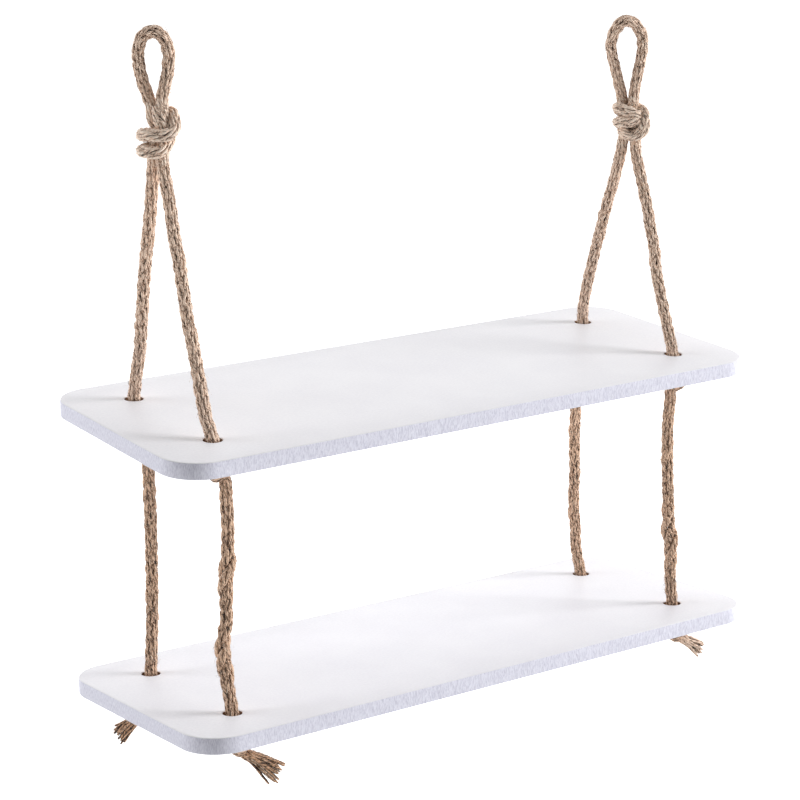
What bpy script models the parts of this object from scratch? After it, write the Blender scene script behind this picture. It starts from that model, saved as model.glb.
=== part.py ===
"""Two-tier rope wall shelf: two painted boards carried by two jute ropes.

Each rope hangs from a loop, is knotted under it, and sends one leg down through the back
holes and one through the front holes of both boards, with a knot under every hole. The
frame's origin is halfway between the two hanging loops, over the middle of the lower board.
"""

import math

import bmesh
import bpy
from mathutils import Euler, Matrix, Vector

MM = 0.001

# Boards
BOARD_LENGTH = 0.400
BOARD_WIDTH = 0.150
BOARD_THICKNESS = 0.0095
CORNER_RADIUS = 0.0225
CORNER_STEPS = 7
EDGE_ROUND = 0.0007
HOLE_RADIUS = 0.0053
HOLE_SIDES = 20
HOLE_SPREAD = Vector((0.162, 0.0428, 0.0))
LOWER_TOP = Vector((0.0, 0.0, -0.355))
UPPER_TOP = LOWER_TOP + Vector((-0.0012, 0.0035, 0.158))
UPPER_TILT = Euler(tuple(math.radians(a) for a in (5.8, -1.5, -1.6)), "XYZ")

# Rope: three strands laid to the right
ROPE_RADIUS = 0.0034
GROOVE_RADIUS = 0.0027
LAY_LENGTH = 0.024
STRANDS = 3
RINGS_PER_LAY = 8
END_GAP = 0.0004
KNOT_END_GAP = 0.0005

# The loops and their knots face this way, turned from the boards' long edges
FACING = math.radians(-36.8)
SIDEWAYS = Vector((math.cos(FACING), math.sin(FACING), 0.0))
UPWARDS = Vector((0.0, 0.0, 1.0))
FORWARDS = SIDEWAYS.cross(UPWARDS)
CURVE_PARTS = 16

# Knots
KNOT_VOXEL = 0.0009
KNOT_RINGS_PER_LAY = 10
LOOP_KNOT_FACES = 1150
STOPPER_FACES = 420
STOPPER_SEAT = 0.0009
STUB_TOP = 0.0028
STUB_FOOT = 0.0165
STUB_LEAD = 0.0032
STOPPER_MIDDLE = 0.0075
SPAN_LEAD = 0.006
KNOT_SWELL = 1.04
TAIL_SWELL = 0.96
TAIL_DROP = 0.0130
TAIL_ASIDE = 0.0045

# Frayed ends
LOCKS = 8  # one in the middle, the rest around it
LOCK_SIDES = 4
LOCK_RADIUS = 0.00125
# Along the lock, its drift outwards in millimetres, and its thickness as a share
LOCK_SHAPE = ((-0.3, 1.5, 1.0), (0.45, 2.7, 1.0), (1.0, 5.2, 0.45))
TAIL_ROOT = 0.008
TAIL_GAP = 0.0008

# One row for each end of the shelf. "loop" and the two ropes of the knot are points in
# millimetres from "place": sideways, up, and towards the front of the loop.
ENDS = {
    "left": {
        "place": Vector((-0.1630, 0.0090, -0.0469)),
        "loop": (
            (-5.4, 15.6, -2.0), (-7.2, 20.2, -1.2), (-9.9, 29.6, 0.0), (-11.1, 39.0, 0.0),
            (-10.4, 46.2, 0.1), (-7.2, 51.4, 0.2), (-2.7, 52.7, 0.2), (1.5, 50.6, 0.1),
            (4.5, 44.7, 0.0), (5.1, 37.9, 0.0), (3.5, 28.6, 0.4), (1.7, 21.6, 1.4),
            (0.9, 17.4, 2.0),
        ),
        "ropes": (
            ((0.0, -16.6, 2.2), (0.6, -8.0, -0.5), (0.8, 2.0, -4.0), (2.2, 8.0, -6.0),
             (4.4, 10.4, -3.4), (6.2, 8.6, 0.2), (7.2, 3.6, 3.4), (5.2, 0.0, 6.2),
             (0.6, -0.9, 7.2), (-5.5, -0.9, 6.4), (-10.4, -0.9, 1.8), (-8.6, -1.0, -3.6),
             (-2.0, -1.5, -7.2), (4.0, -1.0, -6.6), (4.6, 2.0, -3.0), (2.4, 6.0, 0.5),
             (0.6, 11.0, 1.6), (0.9, 17.0, 2.0)),
            ((-5.4, -16.6, -2.8), (-4.4, -9.0, -3.6), (-3.0, 0.0, -4.5), (1.0, 4.0, -6.5),
             (3.8, 1.0, -5.0), (3.6, -3.8, -1.0), (2.0, -7.0, 3.2), (-0.9, -9.4, 5.8),
             (-4.6, -9.9, 6.2), (-8.8, -9.7, 4.2), (-10.7, -9.5, 0.6), (-8.2, -8.8, -4.2),
             (-1.5, -7.8, -7.4), (3.0, -4.5, -6.0), (0.5, 1.0, -2.5), (-3.9, 6.0, -0.6),
             (-4.9, 10.6, -1.4), (-5.4, 15.2, -2.0)),
        ),
        "core": ((-1.0, -3.0, -0.5), (6.0, 9.0, 6.0)),
    },
    "right": {
        "place": Vector((0.1617, -0.0016, -0.0592)),
        "loop": (
            (-4.9, 14.2, -1.6), (-6.0, 19.2, -1.0), (-9.2, 31.3, 0.0), (-11.9, 43.3, 0.0),
            (-11.4, 50.7, 0.1), (-8.0, 58.0, 0.2), (-3.0, 60.6, 0.2), (2.6, 58.6, 0.1),
            (6.5, 51.4, 0.0), (6.9, 43.3, 0.0), (5.0, 32.5, 0.4), (2.5, 20.4, 1.2),
            (1.8, 15.0, 1.8),
        ),
        "ropes": (
            ((-5.0, -15.1, -1.5), (-3.4, -8.0, -3.0), (-3.0, 1.0, -5.6), (-5.5, 6.5, -4.8),
             (-8.0, 8.4, -0.8), (-6.6, 8.3, 3.4), (-1.4, 6.4, 6.0), (3.3, 4.2, 5.0),
             (5.4, 2.2, 1.0), (4.0, 1.0, -3.0), (1.5, 5.0, -2.5), (1.2, 9.5, 0.6),
             (1.8, 14.6, 1.8)),
            ((3.4, -15.1, 1.2), (3.0, -8.0, -3.0), (-1.5, -3.0, -7.0), (-6.2, -0.8, -4.5),
             (-7.6, -0.2, 0.0), (-6.0, 0.2, 4.2), (-1.0, 0.6, 6.6), (3.4, 1.6, 5.4),
             (5.0, 3.0, 1.0), (3.0, 6.0, -3.0)),
            ((-4.9, 13.8, -1.6), (-4.2, 10.0, -2.4), (0.0, 7.6, -5.2), (5.0, 8.0, -3.0),
             (7.7, 5.2, 2.4), (8.0, -0.2, 5.8), (6.6, -5.2, 6.6), (2.6, -8.0, 6.0),
             (-2.0, -7.4, 4.4), (-4.6, -5.4, 0.8), (-3.8, -4.4, -4.0)),
        ),
        "core": ((0.0, 0.0, 0.0), (6.0, 7.0, 5.5)),
    },
}

# One row for each hole. "leg" and "span" are the rope's sideways drift in millimetres off the
# straight line, against its share of the way down: above the upper board, and between the
# boards. "leg_from" is the rope's place under the loop knot. "turn" is the stopper knots' turn
# in degrees, upper then lower. "tail" is the frayed end's direction and its length in
# millimetres.
HOLES = {
    "back_left": {
        "end": "left", "across": -1, "along": 1, "leg_from": (-5.4, -17.3, -2.8),
        "leg": ((0.16, 0.6), (0.30, 0.35), (0.49, 0.2), (0.64, 0.7), (0.79, 1.1), (0.90, 0.2)),
        "span": ((0.0, 5.6), (0.19, 6.0), (0.36, 5.6), (0.52, 4.8), (0.78, 2.8)),
        "turn": (-37, 173), "tail": (Vector((-0.88, 0.10, -0.44)), 20.0),
    },
    "front_left": {
        "end": "left", "across": -1, "along": -1, "leg_from": (0.0, -17.0, 2.2),
        "leg": ((0.14, -0.05), (0.26, -0.8), (0.36, -0.65), (0.47, -1.15), (0.57, -1.7),
                (0.70, -1.35), (0.82, -1.5), (0.92, -1.5)),
        "span": ((0.0, 6.4), (0.09, 7.2), (0.29, 5.0), (0.43, 3.1), (0.56, 1.2), (0.64, 0.6),
                 (0.72, -1.9), (0.87, -1.6)),
        "turn": (-50, -19), "tail": (Vector((0.78, -0.30, -0.54)), 25.5),
    },
    "back_right": {
        "end": "right", "across": 1, "along": 1, "leg_from": (-5.0, -16.2, -1.5),
        "leg": ((0.06, 0.2), (0.20, -0.2), (0.32, -1.2), (0.6, -2.2), (0.88, -2.2)),
        "span": ((0.0, -3.4), (0.3, -4.0), (0.44, -4.6), (0.57, -4.3), (0.67, -5.0), (0.79, -3.9),
                 (0.89, -3.2)),
        "turn": (150, 138), "tail": (Vector((-0.62, 0.55, -0.56)), 22.0),
    },
    "front_right": {
        "end": "right", "across": 1, "along": -1, "leg_from": (3.4, -15.5, 1.2),
        "leg": ((0.04, -0.7), (0.28, 0.3), (0.40, 0.1), (0.51, 0.0), (0.60, -1.1), (0.75, -0.9)),
        "span": ((0.0, -0.8), (0.09, -1.4), (0.24, -2.6), (0.37, -2.8), (0.5, -2.5), (0.73, -1.4),
                 (0.9, -1.0)),
        "turn": (-37, -25), "tail": (Vector((0.80, -0.28, -0.42)), 18.0),
    },
}

# The rope of a stopper knot in millimetres from the middle of its hole's lower mouth, up to the
# last tuck: aside, up, and to the front of the knot
STOPPER = (
    (0.0, 1.2, 0.0), (-0.3, -1.5, 0.2), (-0.6, -5.5, 0.8), (0.4, -9.6, 2.0), (3.5, -10.4, 3.2),
    (5.4, -9.2, 0.0), (3.0, -8.0, -4.4), (-2.5, -6.6, -4.8), (-5.5, -5.2, -0.5), (-3.0, -4.4, 4.4),
    (2.0, -4.4, 5.0), (5.3, -5.2, 1.4), (3.8, -8.2, -1.6),
)


def clear_scene():
    for old in list(bpy.data.objects):
        bpy.data.objects.remove(old, do_unlink=True)


def finish(name, colour, roughness):
    """A plain material of one colour."""
    material = bpy.data.materials.new(name)
    material.use_nodes = True
    shader = material.node_tree.nodes["Principled BSDF"]
    shader.inputs["Base Color"].default_value = (*colour, 1.0)
    shader.inputs["Roughness"].default_value = roughness
    shader.inputs["Metallic"].default_value = 0.0
    return material


def add_object(name, mesh, material):
    made = bpy.data.objects.new(name, mesh)
    bpy.context.scene.collection.objects.link(made)
    mesh.materials.clear()
    mesh.materials.append(material)
    return made


def mesh_from(work, name, smooth=True):
    """A mesh from a bmesh, with its faces turned outwards."""
    bmesh.ops.recalc_face_normals(work, faces=work.faces)
    mesh = bpy.data.meshes.new(name)
    work.to_mesh(mesh)
    work.free()
    if smooth:
        mesh.shade_smooth()
    return mesh


def evaluated_copy(source):
    """The mesh of an object with its modifiers, free of them."""
    bpy.context.view_layer.update()
    graph = bpy.context.evaluated_depsgraph_get()
    return bpy.data.meshes.new_from_object(source.evaluated_get(graph), depsgraph=graph)


def board_outline():
    """The rounded rectangle seen from above, anticlockwise."""
    outline = []
    reach = (BOARD_LENGTH / 2 - CORNER_RADIUS, BOARD_WIDTH / 2 - CORNER_RADIUS)
    for quarter, (sx, sy) in enumerate(((1, 1), (-1, 1), (-1, -1), (1, -1))):
        for step in range(CORNER_STEPS + 1):
            angle = math.radians(90) * (quarter + step / CORNER_STEPS)
            outline.append(Vector((
                sx * reach[0] + CORNER_RADIUS * math.cos(angle),
                sy * reach[1] + CORNER_RADIUS * math.sin(angle),
                0.0,
            )))
    return outline


def hole_cutters():
    """Four drills in one mesh, longer than the board is thick."""
    work = bmesh.new()
    for sx in (-1, 1):
        for sy in (-1, 1):
            place = Vector((sx * HOLE_SPREAD.x, sy * HOLE_SPREAD.y, -BOARD_THICKNESS / 2))
            bmesh.ops.create_cone(
                work, cap_ends=True, segments=HOLE_SIDES, radius1=HOLE_RADIUS,
                radius2=HOLE_RADIUS, depth=3 * BOARD_THICKNESS, matrix=Matrix.Translation(place),
            )
    return mesh_from(work, "drills", smooth=False)


def add_board(name, place, tilt, material):
    """A board with its top face's middle at place: rounded corners, eased edges, four holes."""
    work = bmesh.new()
    rim = [work.verts.new(point) for point in board_outline()]
    top = work.faces.new(rim)
    under = bmesh.ops.extrude_face_region(work, geom=[top])
    lowered = [part for part in under["geom"] if isinstance(part, bmesh.types.BMVert)]
    bmesh.ops.translate(work, verts=lowered, vec=(0.0, 0.0, -BOARD_THICKNESS))
    made = add_object(name, mesh_from(work, name, smooth=False), material)
    ease = made.modifiers.new("eased edges", "BEVEL")
    ease.width = EDGE_ROUND
    ease.segments = 1
    ease.limit_method = "ANGLE"
    ease.angle_limit = math.radians(60)
    drills = add_object(name + "_drills", hole_cutters(), material)
    drills.hide_render = True
    drills.display_type = "WIRE"
    bore = made.modifiers.new("rope holes", "BOOLEAN")
    bore.operation = "DIFFERENCE"
    bore.solver = "EXACT"
    bore.object = drills
    for each in (made, drills):
        each.location = place
        each.rotation_euler = tilt
    return made


def smooth_route(points, step):
    """Points at even steps along a smooth curve through the given ones."""
    knots = [points[0] * 2 - points[1], *points, points[-1] * 2 - points[-2]]
    dense = []
    for before, start, end, after in zip(knots, knots[1:], knots[2:], knots[3:]):
        for part in range(CURVE_PARTS):
            t = part / CURVE_PARTS
            dense.append(0.5 * (
                2 * start
                + (end - before) * t
                + (2 * before - 5 * start + 4 * end - after) * t * t
                + (3 * start - before - 3 * end + after) * t * t * t
            ))
    dense.append(points[-1].copy())
    lengths = [0.0]
    for first, second in zip(dense, dense[1:]):
        lengths.append(lengths[-1] + (second - first).length)
    count = max(2, round(lengths[-1] / step))
    route = []
    index = 0
    for number in range(count + 1):
        wanted = lengths[-1] * number / count
        while index < len(dense) - 2 and lengths[index + 1] < wanted:
            index += 1
        share = (wanted - lengths[index]) / max(lengths[index + 1] - lengths[index], 1e-9)
        route.append(dense[index].lerp(dense[index + 1], min(share, 1.0)))
    return route


def rope_bmesh(work, points, rings_per_lay=RINGS_PER_LAY, swell=1.0):
    """Adds a closed rope along the points, its strands raised and turning to the right."""
    step = LAY_LENGTH / rings_per_lay
    route = smooth_route(points, step)
    side = None
    rings = []
    for number, point in enumerate(route):
        ahead = route[min(number + 1, len(route) - 1)]
        behind = route[max(number - 1, 0)]
        along = (ahead - behind).normalized()
        if side is None:
            side = along.orthogonal()
        side = (side - along * side.dot(along)).normalized()
        across = along.cross(side)
        ring = []
        for corner in range(2 * STRANDS):
            radius = ROPE_RADIUS if corner % 2 == 0 else GROOVE_RADIUS
            angle = math.tau * (corner / (2 * STRANDS) + number / rings_per_lay)
            spoke = side * math.cos(angle) + across * math.sin(angle)
            ring.append(work.verts.new(point + spoke * radius * swell))
        rings.append(ring)
    for first, second in zip(rings, rings[1:]):
        for corner in range(2 * STRANDS):
            beside = (corner + 1) % (2 * STRANDS)
            work.faces.new((first[corner], first[beside], second[beside], second[corner]))
    work.faces.new(list(reversed(rings[0])))
    work.faces.new(rings[-1])


def add_rope(name, points, material):
    work = bmesh.new()
    rope_bmesh(work, points)
    bmesh.ops.triangulate(work, faces=work.faces)
    return add_object(name, mesh_from(work, name), material)


def fused_knot(name, ropes, core, faces, material):
    """One solid of the ropes that lie through each other in a pulled knot."""
    work = bmesh.new()
    for points in ropes:
        rope_bmesh(work, points, rings_per_lay=KNOT_RINGS_PER_LAY, swell=KNOT_SWELL)
    middle, radii = core
    shape = Matrix.Translation(middle) @ Matrix.Diagonal((*radii, 1.0))
    bmesh.ops.create_icosphere(work, subdivisions=3, radius=1.0, matrix=shape)
    raw = add_object(name + "_ropes", mesh_from(work, name), material)
    remesh = raw.modifiers.new("fused", "REMESH")
    remesh.mode = "VOXEL"
    remesh.voxel_size = KNOT_VOXEL
    full = evaluated_copy(raw)
    triangles = sum(len(face.vertices) - 2 for face in full.polygons)
    bpy.data.meshes.remove(full)
    fewer = raw.modifiers.new("fewer faces", "DECIMATE")
    fewer.ratio = min(1.0, faces / triangles)
    mesh = evaluated_copy(raw)
    bpy.data.objects.remove(raw, do_unlink=True)
    mesh.shade_smooth()
    mesh.name = name
    return add_object(name, mesh, material)


def facing_point(place, offsets):
    """A point from its sideways, up and forward offsets in millimetres."""
    u, v, w = offsets
    return place + (SIDEWAYS * u + UPWARDS * v + FORWARDS * w) * MM


def hole_mouth(row, board, depth):
    """The middle of a row's hole at a depth under the board's top face."""
    local = Vector((row["across"] * HOLE_SPREAD.x, row["along"] * HOLE_SPREAD.y, -depth))
    if board == "upper":
        local.rotate(UPPER_TILT)
        return UPPER_TOP + local
    return LOWER_TOP + local


def stopper_points(row, board, turn, foot, leaving):
    """The stopper knot's rope under a hole, turned about the hole, leaving at its foot."""
    mouth = hole_mouth(row, board, BOARD_THICKNESS)
    upright = hole_mouth(row, board, 0.0) - mouth
    upright.normalize()
    swing = Matrix.Rotation(math.radians(turn), 3, upright)
    front = swing @ Vector((0.0, -1.0, 0.0))
    front = (front - upright * front.dot(upright)).normalized()
    aside = front.cross(upright)
    points = []
    for u, v, w in STOPPER:
        raised = upright * (v * MM + STOPPER_SEAT)
        points.append(mouth + aside * -u * MM + raised + front * w * MM)
    points.append(foot - leaving * STUB_LEAD)
    points.append(foot)
    return shortened(points, 0.0, KNOT_END_GAP)


def shortened(points, start=0.0, end=0.0):
    """The same route with its two ends drawn in."""
    first = points[0] + (points[1] - points[0]).normalized() * start
    last = points[-1] + (points[-2] - points[-1]).normalized() * end
    return [first, *points[1:-1], last]


def leg_points(row):
    """The rope from the loop knot down through the upper board's hole to the stopper."""
    start = facing_point(ENDS[row["end"]]["place"], row["leg_from"])
    top = hole_mouth(row, "upper", 0.0)
    points = [start]
    for share, drift in row["leg"]:
        points.append(start.lerp(top, share) + SIDEWAYS * drift * MM)
    axis = (top - hole_mouth(row, "upper", BOARD_THICKNESS)).normalized()
    points.append(top)
    points.append(hole_mouth(row, "upper", BOARD_THICKNESS) + axis * STUB_TOP)
    return points


def span_foot(row):
    """Where the rope leaves the stopper knot under the upper board."""
    mouth = hole_mouth(row, "upper", BOARD_THICKNESS)
    drift = row["span"][0][1]
    return mouth - UPWARDS * STUB_FOOT + SIDEWAYS * drift * MM


def span_points(row):
    """The rope from under the upper board's knot to the lower board's knot."""
    high = hole_mouth(row, "upper", BOARD_THICKNESS)
    top = hole_mouth(row, "lower", 0.0)
    points = [span_foot(row)]
    for share, drift in row["span"]:
        if (high.z - top.z) * share > STUB_FOOT + SPAN_LEAD:
            points.append(high.lerp(top, share) + SIDEWAYS * drift * MM)
    points.append(top)
    points.append(hole_mouth(row, "lower", BOARD_THICKNESS - STUB_TOP))
    return points


def tail_start(row):
    """Where the frayed end leaves the stopper knot under the lower board."""
    mouth = hole_mouth(row, "lower", BOARD_THICKNESS)
    direction, _ = row["tail"]
    flat = Vector((direction.x, direction.y, 0.0))
    return mouth - UPWARDS * TAIL_DROP + flat.normalized() * TAIL_ASIDE


def add_tail(name, row, material):
    """The rope's cut end: a short laid root from which loosened locks of yarn fan out."""
    direction, length = row["tail"]
    direction = direction.normalized()
    start = tail_start(row) + direction * TAIL_GAP
    root_end = start + direction * TAIL_ROOT
    work = bmesh.new()
    rope_bmesh(work, [start, start.lerp(root_end, 0.5), root_end], swell=TAIL_SWELL)
    root = add_object(name, mesh_from(work, name), material)
    side = direction.cross(UPWARDS).normalized()
    rise = side.cross(direction)
    reach = length * MM - TAIL_ROOT
    for number in range(LOCKS):
        turn = math.tau * number / (LOCKS - 1)
        out = Vector((0.0, 0.0, 0.0))
        if number < LOCKS - 1:
            out = side * math.cos(turn) + rise * math.sin(turn)
        length_share = 0.82 + 0.18 * math.cos(2.3 * number + length)  # uneven cut ends
        lock = bmesh.new()
        rings = []
        for along, spread, thickness in LOCK_SHAPE:
            centre = root_end + direction * reach * along * length_share + out * spread * MM
            ring = []
            for corner in range(LOCK_SIDES):
                angle = math.tau * corner / LOCK_SIDES + 0.4 * number
                spoke = side * math.cos(angle) + rise * math.sin(angle)
                ring.append(lock.verts.new(centre + spoke * LOCK_RADIUS * thickness))
            rings.append(ring)
        for first, second in zip(rings, rings[1:]):
            for corner in range(LOCK_SIDES):
                beside = (corner + 1) % LOCK_SIDES
                lock.faces.new((first[corner], first[beside], second[beside], second[corner]))
        lock.faces.new(list(reversed(rings[0])))
        lock.faces.new(rings[-1])
        piece = add_object(f"{name}_lock_{number}", mesh_from(lock, name), material)
        piece.hide_render = True
        piece.display_type = "WIRE"
        join = root.modifiers.new(f"lock {number}", "BOOLEAN")
        join.operation = "UNION"
        join.solver = "EXACT"
        join.object = piece
    return root


def build():
    clear_scene()
    paint = finish("white painted board", (0.86, 0.86, 0.87), 0.45)
    jute = finish("jute rope", (0.47, 0.33, 0.21), 0.9)
    add_board("lower_board", LOWER_TOP, Euler((0.0, 0.0, 0.0)), paint)
    add_board("upper_board", UPPER_TOP, UPPER_TILT, paint)
    for end, parts in ENDS.items():
        place = parts["place"]
        loop = [facing_point(place, offsets) for offsets in parts["loop"]]
        add_rope(f"{end}_loop", shortened(loop, END_GAP, END_GAP), jute)
        ropes = []
        for offsets in parts["ropes"]:
            ropes.append([facing_point(place, point) for point in offsets])
        middle, radii = parts["core"]
        core = (facing_point(place, middle), [radius * MM for radius in radii])
        fused_knot(f"{end}_loop_knot", ropes, core, LOOP_KNOT_FACES, jute)
    for hole, row in HOLES.items():
        span = span_points(row)
        add_rope(f"{hole}_leg", shortened(leg_points(row), END_GAP, END_GAP), jute)
        add_rope(f"{hole}_span", shortened(span, END_GAP, END_GAP), jute)
        feet = {
            "upper": (span[0], (span[1] - span[0]).normalized()),
            "lower": (tail_start(row), row["tail"][0].normalized()),
        }
        for (board, (foot, leaving)), turn in zip(feet.items(), row["turn"]):
            points = stopper_points(row, board, turn, foot, leaving)
            mouth = hole_mouth(row, board, BOARD_THICKNESS)
            core = (mouth - UPWARDS * STOPPER_MIDDLE, (ROPE_RADIUS, ROPE_RADIUS, ROPE_RADIUS))
            fused_knot(f"{hole}_{board}_knot", [points], core, STOPPER_FACES, jute)
        add_tail(f"{hole}_tail", row, jute)


build()
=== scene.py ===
import math
import random

import bmesh
import bpy
import numpy as np
from mathutils import Euler, Matrix, Vector


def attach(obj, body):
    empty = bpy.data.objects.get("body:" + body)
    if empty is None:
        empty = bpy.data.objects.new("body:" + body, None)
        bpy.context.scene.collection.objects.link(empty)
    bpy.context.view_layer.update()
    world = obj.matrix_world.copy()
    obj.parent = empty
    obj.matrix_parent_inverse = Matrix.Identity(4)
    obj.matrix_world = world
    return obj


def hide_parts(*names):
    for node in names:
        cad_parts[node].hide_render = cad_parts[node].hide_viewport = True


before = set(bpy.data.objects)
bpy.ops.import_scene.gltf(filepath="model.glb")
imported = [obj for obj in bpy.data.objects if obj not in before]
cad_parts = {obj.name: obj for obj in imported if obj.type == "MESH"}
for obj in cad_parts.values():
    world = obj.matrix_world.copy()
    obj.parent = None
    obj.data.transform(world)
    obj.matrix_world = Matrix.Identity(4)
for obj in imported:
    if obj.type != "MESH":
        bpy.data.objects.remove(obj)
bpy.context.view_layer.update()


# The view: a long lens a little above the shelf and to the left of its middle, so the
# boards show their top faces, their front edges and their left ends.
VIEW_PLACE = (-0.777755, -1.024619, 0.051552)
VIEW_YAW, VIEW_PITCH, VIEW_ROLL = -36.663712, -11.546063, 0.731885
VIEW_LENS = 101.458

bpy.ops.object.camera_add()
camera = bpy.context.active_object
camera.name = "view"
turned = Matrix.Rotation(math.radians(VIEW_YAW), 4, "Z")
turned = turned @ Matrix.Rotation(math.radians(VIEW_PITCH), 4, "X")
turned = turned @ Matrix.Rotation(math.radians(VIEW_ROLL), 4, "Y")
turned = turned @ Matrix.Rotation(math.radians(90.0), 4, "X")
camera.matrix_world = Matrix.Translation(VIEW_PLACE) @ turned
camera.data.sensor_width = 36.0
camera.data.lens = VIEW_LENS
camera.data.clip_start = 0.05
camera.data.clip_end = 20.0
bpy.context.scene.camera = camera


# The legs: jute rope of three strands laid to the right, about seven millimetres thick. One
# goes down from the knot of a hanging loop to each hole of the upper board, passes through
# it, and is held by a knot underneath.
MM = 0.001
UPWARDS = Vector((0.0, 0.0, 1.0))
SIDEWAYS = Vector((math.cos(math.radians(-36.8)), math.sin(math.radians(-36.8)), 0.0))
TO_FRONT = SIDEWAYS.cross(UPWARDS)

ROPE_THICKNESS = 0.0068
STRANDS = 3
STRAND_OFFSET = 0.00150
LAY_LENGTH = 0.024
YARNS = 6  # in each strand
YARN_OFFSET = 0.00142
YARN_RADIUS = 0.00076
YARN_SIDES = 6
YARN_TURN = 430.0  # how fast the yarns of a strand wind back, in radians for each metre
RING_STEP = 0.0009

BOARD_THICKNESS = 0.0095
HOLE_ACROSS, HOLE_ALONG = 0.162, 0.0428
LOWER_TOP = Vector((0.0, 0.0, -0.355))
UPPER_TOP = LOWER_TOP + Vector((-0.0012, 0.0035, 0.158))
UPPER_TILT = Euler(tuple(math.radians(a) for a in (5.8, -1.5, -1.6)), "XYZ")
HOLES = {
    "back_left": (-1, 1), "front_left": (-1, -1), "back_right": (1, 1), "front_right": (1, -1),
}
LOOP_KNOT_PLACE = {
    "left": Vector((-0.1630, 0.0090, -0.0469)),
    "right": Vector((0.1617, -0.0016, -0.0592)),
}
# Where each leg leaves its loop knot, and its drift sideways against its share of the way
LEGS = {
    "back_left": (
        "left", (-5.4, -16.6, -2.8),
        ((0.16, 0.6), (0.30, 0.35), (0.49, 0.2), (0.64, 0.7), (0.79, 1.1), (0.90, 0.2)),
    ),
    "front_left": (
        "left", (0.0, -16.6, 2.2),
        ((0.14, -0.05), (0.26, -0.8), (0.36, -0.65), (0.47, -1.15), (0.57, -1.7), (0.70, -1.35),
         (0.82, -1.5), (0.92, -1.5)),
    ),
    "back_right": (
        "right", (-5.0, -15.1, -1.5),
        ((0.06, 0.2), (0.20, -0.2), (0.32, -1.2), (0.6, -2.2), (0.88, -2.2)),
    ),
    "front_right": (
        "right", (3.4, -15.1, 1.2),
        ((0.04, -0.7), (0.28, 0.3), (0.40, 0.1), (0.51, 0.0), (0.60, -1.1), (0.75, -0.9)),
    ),
}


def facing_point(place, offsets):
    """A point that lies sideways, up and to the front of a place, in millimetres."""
    u, v, w = offsets
    return place + (SIDEWAYS * u + UPWARDS * v + TO_FRONT * w) * MM


def hole_mouth(hole, board, depth):
    """The middle of a hole at a depth under the board's top face."""
    across, along = HOLES[hole]
    local = Vector((across * HOLE_ACROSS, along * HOLE_ALONG, -depth))
    if board == "upper":
        local.rotate(UPPER_TILT)
        return UPPER_TOP + local
    return LOWER_TOP + local


def smooth_route(points, step):
    """Points at even steps along a smooth curve through the given ones, and one more past
    each end, where a rope runs on into its knot."""
    knots = [points[0] * 2 - points[1], *points, points[-1] * 2 - points[-2]]
    dense = []
    for before, start, end, after in zip(knots, knots[1:], knots[2:], knots[3:]):
        for part in range(16):
            t = part / 16
            dense.append(0.5 * (
                2 * start
                + (end - before) * t
                + (2 * before - 5 * start + 4 * end - after) * t * t
                + (3 * start - before - 3 * end + after) * t * t * t
            ))
    dense.append(points[-1].copy())
    dense = np.array(dense)
    gone = np.concatenate([[0.0], np.cumsum(np.linalg.norm(np.diff(dense, axis=0), axis=1))])
    count = max(4, round(gone[-1] / step))
    wanted = np.linspace(0.0, gone[-1], count + 1)
    route = np.stack([np.interp(wanted, gone, dense[:, axis]) for axis in range(3)], axis=1)
    return np.concatenate([[2 * route[0] - route[1]], route, [2 * route[-1] - route[-2]]])


def unit(rows):
    return rows / np.maximum(np.linalg.norm(rows, axis=-1, keepdims=True), 1e-12)


def square_to(direction, along):
    """What is left of a direction once its part along the other is taken away."""
    return unit(direction - along * np.sum(direction * along, axis=-1, keepdims=True))


def strand_lines(route, swell, loosened, lay):
    """The middles of the strands along a rope's route, and the way outwards at each."""
    along = unit(np.gradient(route, axis=0))
    front = np.array(TO_FRONT)
    side = square_to(front, along[0])
    sides = [side]
    for direction in along[1:]:
        side = square_to(side, direction)
        sides.append(side)
    sides = np.array(sides)
    across = np.cross(along, sides)
    gone = (np.arange(len(route)) - 1.0) / (len(route) - 3.0)
    length = np.linalg.norm(np.diff(route[1:-1], axis=0), axis=1).sum()
    mark = square_to(front, along[-1])
    wanted = math.atan2(np.dot(mark, across[-1]), np.dot(mark, sides[-1]))
    share = math.tau / STRANDS
    natural = math.tau * length / lay
    turn = natural + (wanted - natural + share / 2) % share - share / 2
    # Where the strands stand well apart, they have lost most of their twist.
    twist = np.ones(len(route))
    for _, middle, reach, out in loosened:
        near = np.clip(1.0 - np.abs(gone - middle) / reach, 0.0, 1.0)
        twist -= 0.28 * max(out - 0.9, 0.0) * np.minimum(1.0, 2.0 * near)
    wound = np.cumsum(np.maximum(twist, 0.12))
    wound = (wound - wound[1]) / (wound[-2] - wound[1])
    lines = []
    for strand in range(STRANDS):
        angle = share * strand + turn * wound
        outwards = sides * np.cos(angle)[:, None] + across * np.sin(angle)[:, None]
        offset = np.full(len(route), STRAND_OFFSET * swell)
        for which, middle, reach, out in loosened:
            if which == strand:
                near = np.clip(1.0 - np.abs(gone - middle) / reach, 0.0, 1.0)
                offset += out * MM * near * near * (3 - 2 * near)
        lines.append((route + outwards * offset[:, None], outwards))
    return lines, gone * length


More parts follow.
